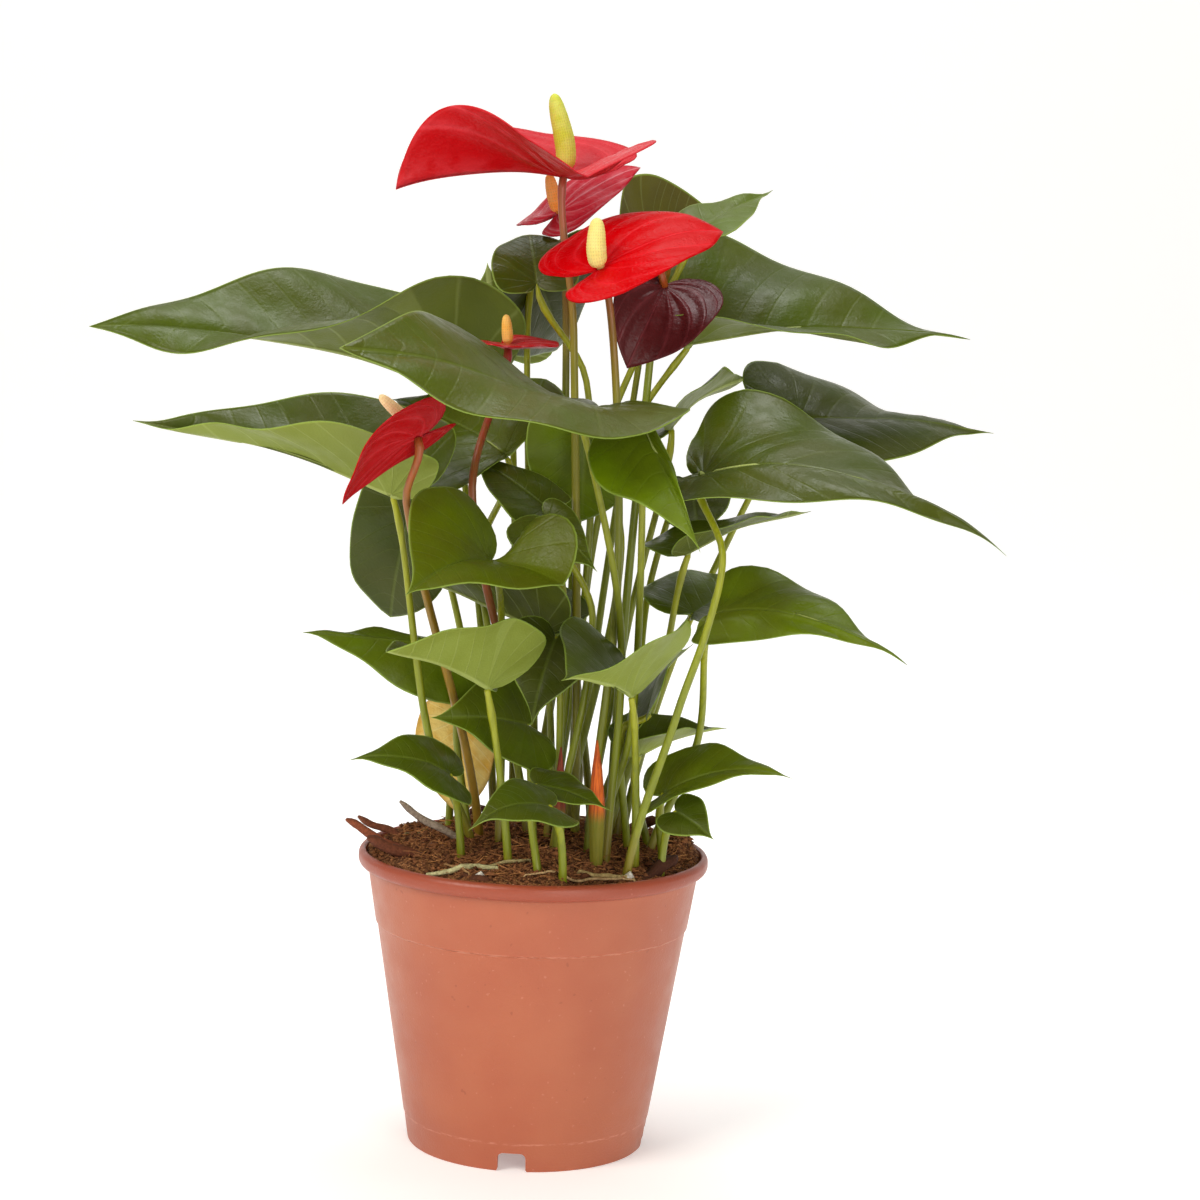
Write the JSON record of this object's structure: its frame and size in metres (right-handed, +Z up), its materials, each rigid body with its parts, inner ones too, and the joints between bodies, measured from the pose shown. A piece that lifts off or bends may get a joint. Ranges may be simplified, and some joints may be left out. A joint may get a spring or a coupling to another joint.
{
  "type": "potted anthurium",
  "caption": "Young anthurium with heart-shaped leaves and red blooms on long stalks, standing in coir in a round plastic nursery pot.",
  "frame": {"origin": "under the pot's axis, on the surface that the pot stands on", "axes": "+Z up along the pot's axis, +X to the viewer's right and +Y away from the viewer in the pictured view"},
  "size_m": [0.3191, 0.2086, 0.3582],
  "materials": {
    "leaf": "dark green satin leaf with a waxy top",
    "young_leaf": "fresh green satin leaf",
    "yellowed_leaf": "pale yellow, dull, dying leaf",
    "red_spathe": "glossy lacquered red spathe",
    "maroon_spathe": "dark maroon spathe, satin",
    "flower_stalk": "olive to red-brown smooth stalk",
    "spadix": "yellow spadix, finely knobbed",
    "sheath": "orange-brown papery sheath",
    "coir": "damp brown coir with bark and roots",
    "pot_plastic": "terracotta satin moulded plastic"
  },
  "bodies": {
    "root": {"leaf_01": "leaf", "leaf_02": "leaf", "leaf_03": "leaf", "leaf_04": "leaf", "leaf_05": "leaf", "leaf_06": "leaf", "leaf_07": "leaf", "leaf_08": "leaf", "leaf_09": "young_leaf", "leaf_10": "leaf", "leaf_11": "leaf", "leaf_12": "leaf", "leaf_13": "leaf", "leaf_14": "leaf", "leaf_15": "leaf", "leaf_16": "leaf", "leaf_17": "leaf", "leaf_18": "young_leaf", "leaf_19": "leaf", "leaf_20": "leaf", "leaf_21": "leaf", "leaf_22": "leaf", "leaf_23": "leaf", "leaf_24": "leaf", "leaf_25": "leaf", "leaf_26": "leaf", "leaf_27": "young_leaf", "leaf_28": "leaf", "leaf_29": "leaf", "leaf_30": "leaf", "leaf_31": "young_leaf", "leaf_32": "young_leaf", "leaf_33": "leaf", "leaf_34": "leaf", "leaf_35": "leaf", "leaf_36": "leaf", "leaf_37_yellow": "yellowed_leaf", "bloom_1_spathe": "red_spathe", "bloom_1_stalk": "flower_stalk", "bloom_1_spadix": "spadix", "bloom_2_spathe": "red_spathe", "bloom_2_stalk": "flower_stalk", "bloom_2_spadix": "spadix", "bloom_3_spathe": "red_spathe", "bloom_3_stalk": "flower_stalk", "bloom_3_spadix": "spadix", "bloom_4_spathe": "maroon_spathe", "bloom_4_stalk": "flower_stalk", "bloom_5_spathe": "red_spathe", "bloom_5_stalk": "flower_stalk", "bloom_5_spadix": "spadix", "bloom_6_spathe": "red_spathe", "bloom_6_stalk": "flower_stalk", "bloom_6_spadix": "spadix", "sheath_1": "sheath", "sheath_2": "sheath", "soil": "coir", "pot": "pot_plastic"}
  },
  "joints": []
}
